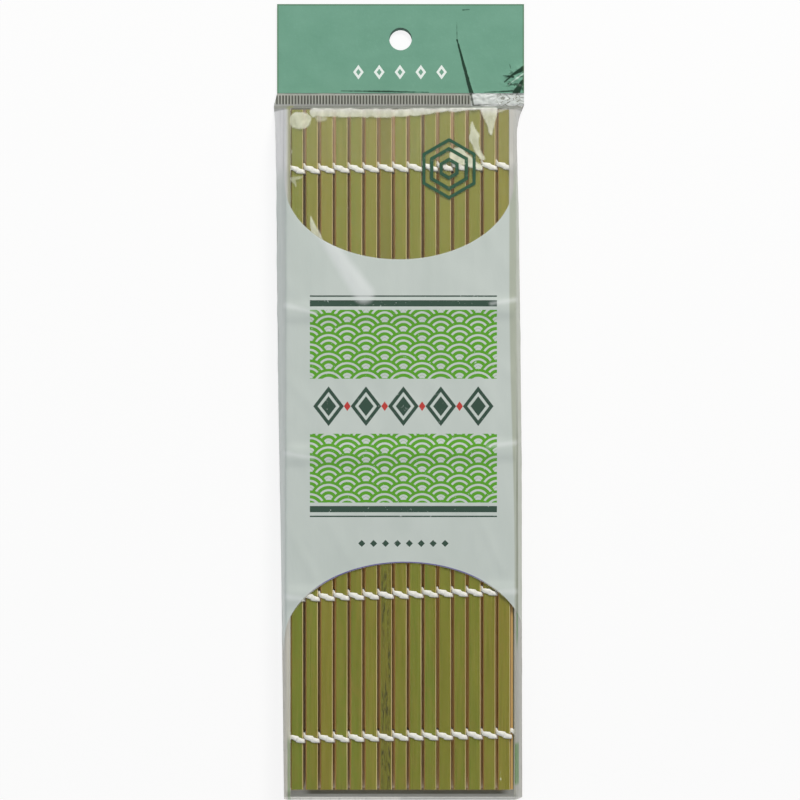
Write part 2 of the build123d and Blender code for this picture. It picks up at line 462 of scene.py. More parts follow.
@dataclass(frozen=True)
class FrontFilmFinish(Finish):
    """Clear film with a white printed band between two round windows, in millimetres.

    Each window has the middle of its rounded end, its half width and how far that end reaches.
    """

    name: str = "printed_clear_film"
    panel: WavePanel = field(default_factory=WavePanel)
    top_window: tuple[float, float, float, float] = (-0.5, 76.8, 40.4, -27.0)
    low_window: tuple[float, float, float, float] = (1.5, -84.9, 42.5, 28.0)
    crest_middle: tuple[float, float] = (17.1, 81.8)
    crest_rings: tuple[tuple[float, float], ...] = ((8.3, 9.4), (5.5, 6.7), (2.2, 3.4))
    # Whitish marks: partly fogged film where it clings, partly painted reflections of the lamps on
    # its slopes and folds.
    haze_and_glare_patches: tuple[Stroke, ...] = (
        Stroke((-36.4, 98.9), (-34.6, 98.9), 2.9, 2.9, 0.4),
        Stroke((-30.4, 101.6), (0.0, 101.5), 1.5, 1.4, 0.4),
        Stroke((0.0, 101.5), (16.0, 102.6), 1.4, 0.6, 0.4),
        Stroke((16.0, 102.6), (31.0, 103.2), 0.6, 0.5, 0.4),
        Stroke((31.4, 102.3), (31.9, 93.9), 2.9, 0.2, 0.4),
        Stroke((25.3, 98.0), (25.9, 93.2), 0.2, 1.8, 0.4),
        Stroke((25.9, 93.2), (27.0, 88.4), 1.8, 1.0, 0.4),
        Stroke((27.0, 88.4), (29.0, 85.4), 1.0, 0.8, 0.4),
        Stroke((20.3, 86.2), (27.6, 82.6), 2.9, 1.0, 0.4),
        Stroke((-31.7, 64.8), (-29.6, 56.6), 0.1, 2.0, 0.3),
        Stroke((35.2, -130.9), (35.3, -133.6), 0.15, 0.35, 0.2),
        Stroke((-38.4, 88.2), (-38.4, 87.4), 0.20, 0.20, 0.15),
    )
    # Fainter whitish marks: painted highlights on small wrinkles in the film.
    faint_glare_patches: tuple[Stroke, ...] = (
        Stroke((-38.4, 78.0), (-34.8, 78.8), 0.6, 0.15, 0.4),
        Stroke((-37.9, 77.9), (-36.9, 75.7), 0.8, 0.1, 0.4),
        Stroke((-28.6, 99.6), (-26.6, 99.4), 1.3, 0.7, 0.6),
        Stroke((33.0, 101.6), (37.6, 103.0), 0.5, 0.3, 0.4),
    )
    # A painted highlight streak along a diagonal fold over the band.
    streak: Stroke = Stroke((-32.6, 66.0), (-13.0, 38.0), 1.2, 3.4, 1.6)
    # Painted glints on the film's ridges over the cord rows, near the sides.
    row_glints: tuple[Stroke, ...] = (
        Stroke((-40.6, 33.6), (-30.0, 31.0), 0.9, 0.4, 0.9),
        Stroke((-40.6, -18.6), (-31.0, -20.2), 0.8, 0.4, 0.9),
        Stroke((40.4, 35.6), (32.0, 34.2), 0.8, 0.4, 0.9),
        Stroke((40.4, -14.8), (31.0, -16.2), 0.8, 0.4, 0.9),
        Stroke((-40.2, -69.2), (-35.0, -70.0), 0.9, 0.6, 0.9),
        Stroke((40.2, -67.4), (35.4, -67.4), 1.0, 0.6, 0.9),
    )

    def window(self, x: Value, y: Value, place: tuple[float, float, float, float]) -> Value:
        """How far a point is from the middle of a window's rounded end, with 1 on its rim."""
        middle_x, middle_y, half_width, reach = place
        return ((x - middle_x) / half_width).hypot(((y - middle_y) / reach).high(0.0))

    def crest(self, x: Value, y: Value) -> Value:
        """A plain six-sided tortoiseshell figure in the upper window."""
        px, py = abs(x - self.crest_middle[0]), abs(y - self.crest_middle[1])
        away = (px * 0.5 + py * 0.866).high(px)
        lines: Number = 0.0
        for inner, outer in self.crest_rings:
            lines = away.within(inner, outer) + lines
        return lines

    def wall_paint(self, n: Nodes, x: Value, y: Value, leaf: Value) -> bpy.types.NodeSocket:
        """The milky side walls' colour, with the green of the slats behind them, a painted green
        reflection of the left edge slat and a painted dark line of shade along the left crease.
        """
        left = x.below(0.0)
        top_left = left * (y - 60.0).ramp(-25.0, 15.0)
        # Painted reflection: the left edge slat's green mirrored in the wall, near the top and
        # along the lower part.
        beside = (x + 40.3).ramp(-0.6, 1.2) * (x + 38.0).ramp(0.3, -0.3) * top_left
        foot = abs(x - 41.1).ramp(0.95, 0.55) * abs(y + 128.3).ramp(8.2, 6.4) * 0.9
        glow = abs(x + 39.3).ramp(0.9, 0.3) * (y + 84.0).ramp(10.0, -10.0)
        glow = glow * ((y + 119.5).ramp(1.5, -1.5) * 0.45 + 0.10)
        return n.paint(
            n.mix(left, (194, 193, 182), (236, 232, 220)),
            ((y + 20.0).ramp(-70.0, -20.0), (222, 222, 216)),
            ((y - 60.0).ramp(-40.0, 30.0) * (left * 0.5 + 0.5), (255, 255, 255)),
            ((1 - left) * (y - 40.0).ramp(-40.0, 30.0) * 0.5, (206, 206, 198)),
            ((y - 102.8).ramp(-0.4, 0.4), (150, 152, 146)),
            (n.grain((0.7, 60.0, 60.0), 2.0, 41.0).under(0.48, 2.2), (160, 158, 150)),
            # A painted dark line of shade along the left side crease.
            (abs(x + 41.3).ramp(0.32, 0.10) * (0.55 - top_left * 0.45), (150, 144, 134)),
            (beside * 0.85, (150, 150, 96)),
            (leaf.high(foot).high(glow), (84, 146, 28)),
        )

    def dress(self, n: Nodes) -> dict:
        """The print, whitish fogged film and painted reflections, painted highlights on the band,
        and the gloss.
        """
        x, y, _ = n.place()
        top = self.window(x, y, self.top_window)
        low = self.window(x, y, self.low_window)
        between = (y - 80.0).ramp(6.0, -6.0) * (y + 86.5).ramp(-5.0, 5.0)
        band = top.ramp(0.995, 1.005) * low.ramp(0.995, 1.004) * between
        # The violet line along the lower window's edge: the ink's edge, with a painted shadow that
        # the edge casts on the slats below.
        rim = low.ramp(0.986, 0.992) * low.ramp(1.005, 0.999) * between * abs(x).ramp(38.0, 24.0)
        fleck = n.grain((1.6, 2.2, 1.6), 3.0, 5.0)
        blotch = n.grain((14.0, 26.0, 14.0), 2.0, 7.0)
        worn = n.grain(1.1, 4.0, 12.0, 0.7).ramp(0.30, 0.36)
        crest = self.crest(x, y) * worn
        wobble = (n.grain(3.2, 2.0, 21.0, 0.4) - 0.5) * 1.5
        # Whitish marks on the clear film: painted reflections, with some fogged film.
        haze_and_glare = n.strokes(x, y, self.haze_and_glare_patches, wobble) * (1 - band)
        faint = n.strokes(x, y, self.faint_glare_patches, wobble * 0.6) * (1 - band)
        # Painted highlights on the band: glints over the cord rows and a diagonal streak.
        shine = n.strokes(x, y, self.row_glints, wobble * 0.5) * 0.45
        shine = shine.high(n.stroke(x, y, self.streak, wobble * 0.4) * 0.6)
        right = 40.1 - (y + 20.0).ramp(-40.0, 60.0) * 1.9
        wall = (-38.85 - x).ramp(-0.15, 0.25).high((x - right).ramp(-0.15, 0.35))
        wall = wall.high((y - 103.35).ramp(-0.25, 0.25)).high((y + 140.0).ramp(0.3, -0.3))
        leaf = abs(x - 41.2).ramp(0.50, 0.15) * (y - 4.0).ramp(26.0, -40.0)
        leaf = leaf * (y + 86.0).ramp(-4.0, 4.0) * 0.85
        wave, dark, red = self.panel.masks(x, y)
        ink = n.paint(
            n.mix(blotch, (196, 206, 200), (212, 220, 215)),
            (wave * worn, (84, 160, 14)),
            (dark * worn, (28, 62, 46)),
            (red * worn, (192, 52, 44)),
            ((x - right - 0.2).ramp(-0.35, 0.35) * 0.55, (154, 158, 128)),
            (leaf, (84, 98, 52)),
        )
        # Whiter and more opaque at the top end: a painted reflection where the film curves down to
        # the seal.
        crown_glare = (y - 101.0).ramp(-1.0, 2.2)
        milk = n.mix(crown_glare, (252, 254, 230), (255, 255, 248))
        clear_side = n.mix(wall, milk, self.wall_paint(n, x, y, leaf))
        colour = n.paint(
            n.mix(band, clear_side, ink),
            (rim, (92, 84, 150)),
            (crest, (28, 78, 52)),
            (shine * band, (236, 240, 240)),
        )
        printed = (band + rim + crest).low(1.0)
        high = (y - 20.0).ramp(-60.0, 70.0)
        upper = (y - 84.0).ramp(-3.0, 3.0)
        veil = high * 0.016 + upper * 0.020 + 0.004 + high * fleck.over(0.5, 0.06)
        smoke = n.grain((2.2, 3.4, 2.2), 3.0, 71.0)
        cloud = 0.24 + fleck * 0.15 + (smoke - 0.35).ramp(0.0, 0.3) * 0.13 + crown_glare * 0.12
        wall = wall * (0.55 + (x + 38.0).ramp(0.4, -0.4) * (y + 10.0).ramp(0.0, 60.0) * 0.20)
        clear = veil + (haze_and_glare * cloud).high(faint * 0.20) + wall
        matte = (printed + haze_and_glare + faint + wall * 1.6).low(1.0)
        return {
            "Base Color": colour,
            "Alpha": printed * 0.93 + (1 - printed) * clear,
            "Metallic": (1 - matte) * 0.35,
            "Roughness": 0.16 + blotch * 0.10 + matte * 0.14,
            "IOR": 1.5,
        }

    def bump(self, n: Nodes) -> tuple[Value, float]:
        """Fine crinkles in the film."""
        return n.grain((3.0, 9.0, 3.0), 3.0, 17.0, 0.55), 0.10


@dataclass(frozen=True)
class BackFilmFinish(Finish):
    """Milky film with a plain pale backing print under the mat."""

    name: str = "milky_back_film"

    def dress(self, n: Nodes) -> dict:
        """Solid under the mat, clearer at the creased edges, with painted shade: dark wood colours
        glowing from its inner face in the slats' gaps, and a dark strip at the mouth.
        """
        x, y, z = n.place()
        blotch = n.grain((12.0, 30.0, 12.0), 3.0, 3.0)
        rim = abs(x).ramp(41.6, 42.4)
        panel = abs(x).ramp(39.6, 38.8) * (y + 138.6).ramp(-0.4, 0.4) * (y - 103.4).ramp(0.4, -0.4)
        # A dark strip painted at the mouth as the shade under the slat ends.
        foot = abs(y + 138.9).ramp(1.3, 0.9) * abs(x - 1.8).ramp(37.4, 33.0)
        pale = n.mix(blotch, (190, 190, 182), (208, 208, 202))
        colour = n.mix(panel, pale, n.mix(blotch, (196, 188, 170), (212, 206, 190)))
        # Painted shade of the slats below: the inner face glows dark wood colours in each gap,
        # lighter in the upper window, with a painted shadow along one side of each gap.
        gap = ((x - LAYER_EDGE) / SLAT_PITCH + 0.5).math("FLOOR")
        off = x - LAYER_EDGE - gap * SLAT_PITCH
        upper = (y - 84.0).ramp(-2.0, 2.0) * n.chance(gap + 47.0)
        gap_shade_glow = n.paint(
            n.mix(n.chance(gap + 3.0), (58, 38, 8), (98, 70, 26)),
            (n.grain((0.4, 9.0, 1.0), 3.0, 51.0).over(0.45, 1.4), (112, 82, 42)),
            (upper * 0.75, (172, 142, 108)),
            (off.ramp(0.15, -0.25) * (1 - upper * 0.6) * 0.65, (20, 12, 2)),
        )
        inner = panel * (z - 0.10).ramp(-0.01, 0.01)
        return {
            "Base Color": n.mix(foot * 0.9, colour, (84, 80, 54)),
            "Alpha": 1.0 - rim * 0.45,
            "Roughness": 0.26 + blotch * 0.16,
            "Emission Color": n.mix(inner, (0, 0, 0), gap_shade_glow),
            "Emission Strength": 1.0,
            "IOR": 1.5,
        }

    def bump(self, n: Nodes) -> tuple[Value, float]:
        """Fine crinkles in the film."""
        return n.grain((4.0, 7.0, 4.0), 3.0, 23.0), 0.12


@dataclass(frozen=True)
class SealFinish(Finish):
    """Crimped film with painted shade in its grooves and crinkles, and a milky crumpled end."""

    rib_pitch: float
    crumple_x: float
    name: str = "crimped_film"
    # Painted shade along two crinkles near the crumpled end.
    crinkles: tuple[Stroke, ...] = (
        Stroke((25.0, 109.6), (25.9, 104.8), 0.42, 0.30, 0.12),
        Stroke((26.0, 105.0), (33.2, 105.6), 0.20, 0.06, 0.15),
    )

    def dress(self, n: Nodes) -> dict:
        """Painted shade in the grooves and crinkles, silvery ribs and a milky end."""
        x, y, _ = n.place()
        wobble = n.grain(3.0, 2.0, 2.0)
        # Painted shade in the rib grooves.
        groove_shade = abs((x / self.rib_pitch).math("FRACT") - 0.5).ramp(0.12, 0.28)
        reach = abs(y - 107.0).ramp(1.75, 1.45)
        crumpled = (x - self.crumple_x).ramp(-0.3, 0.3)
        groove_shade = groove_shade * reach * (1 - crumpled) * (wobble * 0.5 + 0.70)
        pale = n.mix(wobble, (166, 169, 160), (194, 197, 188))
        pale = n.mix(crumpled, pale, (226, 232, 230))
        wander = (n.grain(1.3, 3.0, 19.0) - 0.5) * 0.5
        # Painted shade along fine folds in the crumpled end.
        creased = abs(n.grain((2.6, 1.5, 2.6), 2.0, 33.0) - 0.5).ramp(0.045, 0.012)
        colour = n.paint(
            n.mix(groove_shade, pale, n.mix(wobble, (52, 53, 44), (84, 85, 74))),
            ((y - 105.6).ramp(0.25, -0.25) * 0.35, (150, 150, 158)),
            *((n.stroke(x, y, line, wander) * 0.9, (74, 84, 70)) for line in self.crinkles),
            (creased * (x - 34.5).ramp(-1.5, 1.5) * 0.75, (104, 106, 84)),
        )
        return {
            "Base Color": colour,
            "Alpha": 0.90 - crumpled * wobble * 0.25,
            "Roughness": 0.24 + wobble * 0.14,
            "IOR": 1.5,
        }

    def bump(self, n: Nodes) -> tuple[Value, float]:
        """Fine crinkles in the film."""
        return n.grain(1.6, 4.0, 13.0, 0.65), 0.12


@dataclass(frozen=True)
class HeaderFinish(Finish):
    """Green printed film with a hard crease, a crumpled corner and a row of small lozenges."""

    name: str = "green_header_film"
    row_middle: tuple[float, float] = (-0.2, 116.9)
    row_pitch: float = 7.4
    corner: tuple[float, float] = (41.4, 113.6)
    gleam: Stroke = Stroke((43.6, 116.3), (38.6, 112.6), 0.30, 0.10, 0.2)
    # Painted shade along the header's crease and folds.
    crease_shades: tuple[Stroke, ...] = (
        Stroke((20.1, 128.4), (25.2, 109.3), 0.26, 0.72, 0.12),
        Stroke((20.0, 134.6), (20.1, 128.4), 0.02, 0.05, 0.25),
        Stroke((43.9, 118.2), (40.2, 116.2), 1.00, 0.45, 0.25),
        Stroke((40.2, 116.2), (37.0, 113.4), 0.45, 0.25, 0.25),
        Stroke((36.6, 115.6), (40.0, 115.2), 0.15, 0.45, 0.20),
        Stroke((43.9, 114.6), (41.2, 109.6), 0.35, 1.35, 0.25),
        Stroke((41.0, 110.2), (30.0, 109.7), 0.30, 0.10, 0.25),
        Stroke((39.2, 118.2), (38.8, 119.8), 0.10, 0.06, 0.15),
        Stroke((22.2, 139.0), (24.4, 139.2), 0.20, 0.10, 0.25),
        Stroke((-21.0, 110.2), (-5.0, 110.0), 0.12, 0.30, 0.25),
        Stroke((-5.0, 110.0), (10.0, 109.7), 0.30, 0.05, 0.25),
    )

    def dress(self, n: Nodes) -> dict:
        """Green ink with painted shade along its folds and in its crumpled corner, a painted gleam,
        its pale border and a row of small white lozenges.
        """
        x, y, z = n.place()
        blotch = n.grain((11.0, 8.0, 11.0), 3.0, 2.0)
        wobble = (n.grain(1.5, 3.0, 9.0) - 0.5) * 0.45
        dark = n.strokes(x, y, self.crease_shades, wobble)
        # Painted shade in the crumples of the corner.
        corner = (x - self.corner[0]).hypot(y - self.corner[1]).ramp(5.2, 3.0)
        crumple_shade = n.grain((2.2, 1.1, 2.2), 3.0, 27.0, 0.6).ramp(0.53, 0.60) * corner
        px = x - self.row_middle[0]
        near_x = (px + self.row_pitch / 2).repeat(self.row_pitch)
        size = near_x / 1.9 + abs(y - self.row_middle[1]) / 2.6
        row = size.within(0.45, 1.0) * abs(px).below(2.5 * self.row_pitch)
        border = abs(x).ramp(43.3, 43.6).high((y - 140.5).ramp(0.0, 0.25))
        green = n.paint(
            n.mix(blotch, (103, 154, 131), (119, 168, 146)),
            (n.grain(0.9, 3.0, 4.0, 0.65).over(0.55, 0.8), (140, 186, 168)),
            (dark.high(crumple_shade * 0.8), (0, 46, 26)),
            (row, (236, 244, 240)),
            (border * 0.6, (70, 104, 64)),
            (n.stroke(x, y, self.gleam, wobble) * 0.7, (206, 232, 218)),
            ((0.12 - z).ramp(-0.05, 0.05) * 0.5, (150, 190, 172)),
        )
        return {
            "Base Color": green,
            "Roughness": 0.34 + blotch * 0.12,
            "Specular IOR Level": 0.25,
            "Coat Weight": 0.10,
            "Coat Roughness": 0.12,
        }

    def bump(self, n: Nodes) -> tuple[Value, float]:
        """A faint waviness."""
        return n.grain(5.0, 3.0, 31.0), 0.14


@dataclass(frozen=True)
class BackPlyFinish(Finish):
    """The header's back ply in dark green as painted shade under the front ply, greyer where the
    ink is thin.
    """

    name: str = "back_ply_shade"

    def dress(self, n: Nodes) -> dict:
        """The colour and the gloss."""
        thin = n.grain(2.4, 3.0, 61.0)
        return {"Base Color": n.mix(thin, (26, 56, 44), (52, 84, 74)), "Roughness": 0.45}


# ---- Meshes


def new_piece(
    name: str, points: Iterable[Sequence[float]], faces: Iterable[Sequence[int]]
) -> bpy.types.Object:
    """Makes a mesh piece with smooth faces at the origin, from points in millimetres."""
    mesh = bpy.data.meshes.new(name)
    mesh.from_pydata([tuple(c * MM for c in p) for p in points], [], [list(f) for f in faces])
    mesh.validate()
    mesh.shade_smooth()
    piece = bpy.data.objects.new(name, mesh)
    bpy.context.collection.objects.link(piece)
    return piece


def select_only(piece: bpy.types.Object) -> None:
    """Deselects everything and makes one piece active."""
    bpy.ops.object.select_all(action="DESELECT")
    piece.select_set(True)
    bpy.context.view_layer.objects.active = piece


def apply_modifier(piece: bpy.types.Object, kind: str, **settings: object) -> None:
    """Adds a modifier to a piece and applies it."""
    select_only(piece)
    modifier = piece.modifiers.new(kind.lower(), kind)
    for name, value in settings.items():
        setattr(modifier, name, value)
    bpy.ops.object.modifier_apply(modifier=modifier.name)


def film_sheet(
    name: str, cells: tuple[int, int], thickness: float, shape: Callable[[float, float], Point]
) -> bpy.types.Object:
    """A sheet of film, shaped and then given its thickness downwards.

    Args:
        name: The piece's name.
        cells: How many cells it has along X and Y.
        thickness: Its thickness in millimetres.
        shape: The place of a point in millimetres, from its shares along X and Y.

    Returns:
        The sheet.
    """
    bpy.ops.object.select_all(action="DESELECT")
    bpy.ops.mesh.primitive_grid_add(x_subdivisions=cells[0], y_subdivisions=cells[1], size=1.0)
    sheet = bpy.context.active_object
    sheet.name = name
    sheet.data.name = name
    for vertex in sheet.data.vertices:
        vertex.co = Vector(shape(vertex.co.x + 0.5, vertex.co.y + 0.5)) * MM
    apply_modifier(sheet, "SOLIDIFY", thickness=thickness * MM, offset=-1.0, use_even_offset=False)
    select_only(sheet)
    bpy.ops.object.shade_smooth_by_angle(angle=math.radians(40))
    return sheet


def ripple(x: float, y: float, size_x: float, size_y: float, seed: float) -> float:
    """Smooth noise from about -1 to 1 over the table, the same on each run."""
    return noise.noise(Vector((x / size_x, y / size_y, seed)))


def ridge(x: float, y: float, line: Stroke) -> float:
    """A height of 1 on a stroke's middle line that falls off to its sides."""
    (ax, ay), (bx, by) = line.start, line.end
    dx, dy = bx - ax, by - ay
    along = max(0.0, min(1.0, ((x - ax) * dx + (y - ay) * dy) / (dx * dx + dy * dy)))
    away = math.hypot(x - ax - along * dx, y - ay - along * dy)
    width = line.start_width + along * (line.end_width - line.start_width)
    return math.exp(-((away / max(width, 0.05)) ** 2))


# ---- Slats and cords


@dataclass(frozen=True)
class SlatPlace:
    """Where a slat's middle line crosses the XZ plane, and which way the mat runs on from it."""

    x: float
    z: float
    run_x: float
    run_z: float

    def point(self, along: float, up: float) -> tuple[float, float]:
        """X and Z of a point along the mat and up towards the green skin."""
        return (
            self.x + along * self.run_x + up * self.run_z,
            self.z + along * self.run_z - up * self.run_x,
        )


@dataclass
class Mat:
    """The folded mat's sizes, in millimetres, its slats' finishes and the bodies they ride on."""

    pitch: float = SLAT_PITCH
    per_layer: int = LAYER_SLATS
    fold_offset: float = 0.14979
    back_z: float = 1.51
    middle_z: float = 7.0296
    front_z: float = 12.5491
    first_row_y: float = -118.7
    row_spacing: float = 50.2
    rows: int = 5
    places: list[SlatPlace] = field(default_factory=list)

    def __post_init__(self) -> None:
        """Works out each slat's place, from the back layer's free edge to the front's."""
        half = self.per_layer * self.pitch / 2
        steps = [(step + 0.5) * self.pitch for step in range(self.per_layer)]
        lift = self.fold_offset + self.pitch / 2
        self.places = [SlatPlace(half - step, self.back_z, -1, 0) for step in steps]
        self.places.append(SlatPlace(-half - self.fold_offset, self.back_z + lift, 0, 1))
        self.places += [SlatPlace(-half + step, self.middle_z, 1, 0) for step in steps]
        self.places.append(SlatPlace(half + self.fold_offset, self.middle_z + lift, 0, 1))
        self.places += [SlatPlace(half - step, self.front_z, -1, 0) for step in steps]

    def body(self, index: int) -> str:
        """The body that a slat rides on, by its number from 0."""
        if index < LEFT_EDGE_SLAT:
            return "back_layer"
        if index == LEFT_EDGE_SLAT:
            return "left_edge"
        if index < RIGHT_EDGE_SLAT:
            return "middle_layer"
        if index == RIGHT_EDGE_SLAT:
            return "right_edge"
        return f"front_slat_{index - RIGHT_EDGE_SLAT:02d}"

    def row_y(self, row: int) -> float:
        """Where a row of cord crosses the mat, by its number from 0."""
        return self.first_row_y + row * self.row_spacing

    def dress_slats(self) -> None:
        """Gives every slat its bamboo finish, up to the last slat of each layer."""
        left, right = self.places[LEFT_EDGE_SLAT].x, self.places[RIGHT_EDGE_SLAT].x
        finishes = (
            (LEFT_EDGE_SLAT - 1, "bamboo_back", SkinSide.UP, self.back_z, 140.0),
            (LEFT_EDGE_SLAT, "bamboo_left_edge", SkinSide.RIGHT, left, 220.0),
            (RIGHT_EDGE_SLAT - 1, "bamboo_middle", SkinSide.DOWN, self.middle_z, 300.0),
            (RIGHT_EDGE_SLAT, "bamboo_right_edge", SkinSide.RIGHT, right, 380.0),
            (len(self.places) - 1, "bamboo_front", SkinSide.UP, self.front_z, 60.0, 6.0),
        )
        first = 0
        for last, *options in finishes:
            finish = BambooFinish(*options)
            material = finish.build()
            for number in range(first + 1, last + 2):
                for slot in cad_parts[f"slat_{number:02d}"].material_slots:
                    slot.material = material
            LOG.info("slats %d to %d: %s", first + 1, last + 1, finish.name)
            first = last + 1


@dataclass
class TwinedCords:
    """Five doubled cotton cords that cross between the slats in every gap, in millimetres."""

    mat: Mat
    width: float = 1.62
    face_width: float = 2.25
    thickness: float = 0.62
    height: float = 0.882
    side_shift: float = 0.83
    loop: float = 0.8
    plies: int = 3
    turns_per_gap: float = 5.0 / 3.0
    slat_half: float = 2.05
    points_round: int = 12
    row_rises: tuple[float, ...] = (1.7, 2.4, 1.6, 1.6, 1.5)

    def gap_path(self, index: int, face: int) -> list[Point]:
        """A strand's line from one slat's middle to the next one's.

        Args:
            index: The slat before the gap, from 0.
            face: 1 if the strand lies on that slat's green skin, else -1.

        Returns:
            Points with their shift along Y as the middle number.
        """
        near, far = self.mat.places[index], self.mat.places[index + 1]
        half = self.mat.pitch / 2
        up = face * self.height
        if index in (LEFT_EDGE_SLAT - 1, LEFT_EDGE_SLAT):
            inside = 1
        else:
            inside = -1 if index in (RIGHT_EDGE_SLAT - 1, RIGHT_EDGE_SLAT) else 0
        if inside == 0:
            run = [(0.0, 1.0), (0.75, 1.0), (1.35, 0.995), (1.80, 0.93), (2.14, 0.74), (2.42, 0.36)]
            ahead = [near.point(along, share * up) for along, share in run]
            back = [far.point(-along, -share * up) for along, share in reversed(run)]
            middle = near.point(half, 0.0)
        else:
            inner = self.height - self.mat.fold_offset
            outer = 0.21
            near_reach, far_reach = (inner, outer) if face == inside else (outer, inner)
            shares = (0.0, 0.35, 0.7, 0.9)
            ahead = [near.point(share * (half - near_reach), up) for share in shares]
            ahead.append(near.point(half - near_reach, 0.93 * up))
            back = [far.point(-(half - far_reach), -0.93 * up)]
            back += [far.point(-share * (half - far_reach), -up) for share in reversed(shares)]
            middle = near.point(half, inside * self.mat.fold_offset)
        flat = [*ahead, middle, *back]
        gaps = [math.dist(a, b) for a, b in zip(flat, flat[1:])]
        total = sum(gaps)
        done = 0.0
        path = []
        for place, gap in zip(flat, [*gaps, 0.0]):
            share = done / total
            shift = face * self.side_shift * math.sin(math.pi * share)
            if face > 0:
                shift += self.loop * math.exp(-(((share - 0.57) / 0.09) ** 2))
            path.append((place[0], shift, place[1]))
            done += gap
        return path

    def end_path(self, index: int, way: int) -> list[Point]:
        """The cord's turn round the mat's outer edge, from a slat's skin to its back."""
        place = self.mat.places[index]
        side = -way if way < 0 else way
        run = [
            (0.0, 1.0, 0.0), (0.9, 1.0, 0.50), (1.55, 0.98, 0.80), (2.08, 0.80, 0.83),
            (2.42, 0.40, 0.50), (2.48, 0.0, 0.0),
        ]
        top = [(way * along, share * self.height, way * side * y) for along, share, y in run]
        bottom = [(along, -up, -y) for along, up, y in reversed(top[:-1])]
        path = []
        for along, up, y in [*top, *bottom]:
            x, z = place.point(along, up)
            path.append((x, y, z))
        return path

    def tube(self, path: list[Point], row: int, gaps: int) -> tuple[list[Point], list[list[int]]]:
        """A strand of twisted plies along a line.

        Args:
            path: The line, with its shift along Y from the row's own.
            row: The row's number from 0.
            gaps: How many gaps the line crosses, which sets its twist.

        Returns:
            Its points and faces.
        """
        centre = smooth_line([Vector(p) for p in path])
        row_y = self.mat.row_y(row)
        points: list[Point] = []
        count = self.points_round
        lengths = [0.0]
        for a, b in zip(centre, centre[1:]):
            lengths.append(lengths[-1] + (b - a).length)
        for i, place in enumerate(centre):
            tangent = (centre[min(i + 1, len(centre) - 1)] - centre[max(i - 1, 0)]).normalized()
            wide = (Vector((0, 1, 0)) - tangent * tangent.y).normalized()
            thin = tangent.cross(wide)
            turn = 2 * math.pi * self.turns_per_gap / self.plies * gaps * lengths[i] / lengths[-1]
            drift = self.row_rises[row] * place.x / LAYER_WIDTH
            drift += 0.16 * ripple(place.x, row * 9.0, 6.0, 1.0, place.z * 0.1)
            narrow = min(1.0, abs(place.y) / self.side_shift)
            width = self.face_width + (self.width - self.face_width) * narrow
            for k in range(count):
                angle = 2 * math.pi * k / count
                lobe = 0.90 + 0.13 * math.cos(self.plies * (angle - turn))
                offset = wide * (width / 2 * math.cos(angle) * lobe)
                offset += thin * (self.thickness / 2 * math.sin(angle) * lobe)
                spot = place + offset
                points.append((spot.x, spot.y + row_y + drift, spot.z))
        faces = []
        rings = len(centre)
        for i in range(0, (rings - 1) * count, count):
            for k in range(count):
                after = (k + 1) % count
                faces.append([i + k, i + after, i + count + after, i + count + k])
        faces.append(list(range(count))[::-1])
        faces.append(list(range((rings - 1) * count, rings * count)))
        return points, faces

    def piece(self, name: str, runs: list[tuple[list[Point], int]]) -> bpy.types.Object:
        """One piece with the given lines in all five rows."""
        points: list[Point] = []
        faces: list[list[int]] = []
        for row in range(self.mat.rows):
            for path, gaps in runs:
                more, sides = self.tube(path, row, gaps)
                start = len(points)
                points += more
                faces += [[start + corner for corner in side] for side in sides]
        made = new_piece(name, points, faces)
        return made

    def long_path(self, first: int, last: int, face: int) -> list[Point]:
        """A strand's line over several gaps, from slat first to slat last."""
        path = self.gap_path(first, face)
        for index in range(first + 1, last):
            face = -face
            path += self.gap_path(index, face)[1:]
        return path

    def build(self) -> None:
        """Makes the cords as pieces: one riding on each of the back and middle layers, and one in
        each gap of the folds and the front layer.
        """
        cotton = CottonFinish().build()
        gaps = LAYER_SLATS - 1
        runs = [(self.end_path(0, -1), 1)]
        runs += [(self.long_path(0, gaps, face), gaps) for face in (1, -1)]
        back = self.piece("cords_back_layer", runs)
        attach(back, "back_layer")
        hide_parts(*[f"cord_row_{row + 1}" for row in range(self.mat.rows)])
        first = LEFT_EDGE_SLAT + 1
        runs = [(self.long_path(first, first + gaps, face), gaps) for face in (1, -1)]
        middle = self.piece("cords_middle_layer", runs)
        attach(middle, "middle_layer")
        made = [back, middle]
        last = len(self.mat.places) - 1
        folds = (LEFT_EDGE_SLAT - 1, LEFT_EDGE_SLAT, RIGHT_EDGE_SLAT - 1, RIGHT_EDGE_SLAT)
        for index in (*folds, *range(RIGHT_EDGE_SLAT + 1, last)):
            runs = [(self.gap_path(index, face), 1) for face in (1, -1)]
            if index == last - 1:
                runs.append((self.end_path(last, 1), 1))
            piece = self.piece(f"cords_gap_{index + 1:02d}", runs)
            start, end = self.bend_zone(index)
            self.mat.body(index)
            self.mat.body(index + 1)
            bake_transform(piece)
            made.append(piece)
        for piece in made:
            piece.data.materials.append(cotton)
        LOG.info("cords: %d pieces, %d faces", len(made), sum(len(p.data.polygons) for p in made))

    def bend_zone(self, index: int) -> tuple[Vector, Vector]:
        """Where the cords bend in a gap: from the edge of one slat to the edge of the next."""
        near, far = self.mat.places[index], self.mat.places[index + 1]
        ends = (near.point(self.slat_half, 0.0), far.point(-self.slat_half, 0.0))
        start, end = (Vector((x, 0, z)) * MM for x, z in ends)
        return start, end


def smooth_line(points: list[Vector]) -> list[Vector]:
    """A smooth line through all the points, with one more point in each stretch."""
    line = []
    for i in range(len(points) - 1):
        before = points[max(i - 1, 0)]
        start, end = points[i], points[i + 1]
        after = points[min(i + 2, len(points) - 1)]
        line.append(start)
        line.append((start + end) * 0.5625 - (before + after) * 0.0625)
    line.append(points[-1])
    return line


# ---- Bag


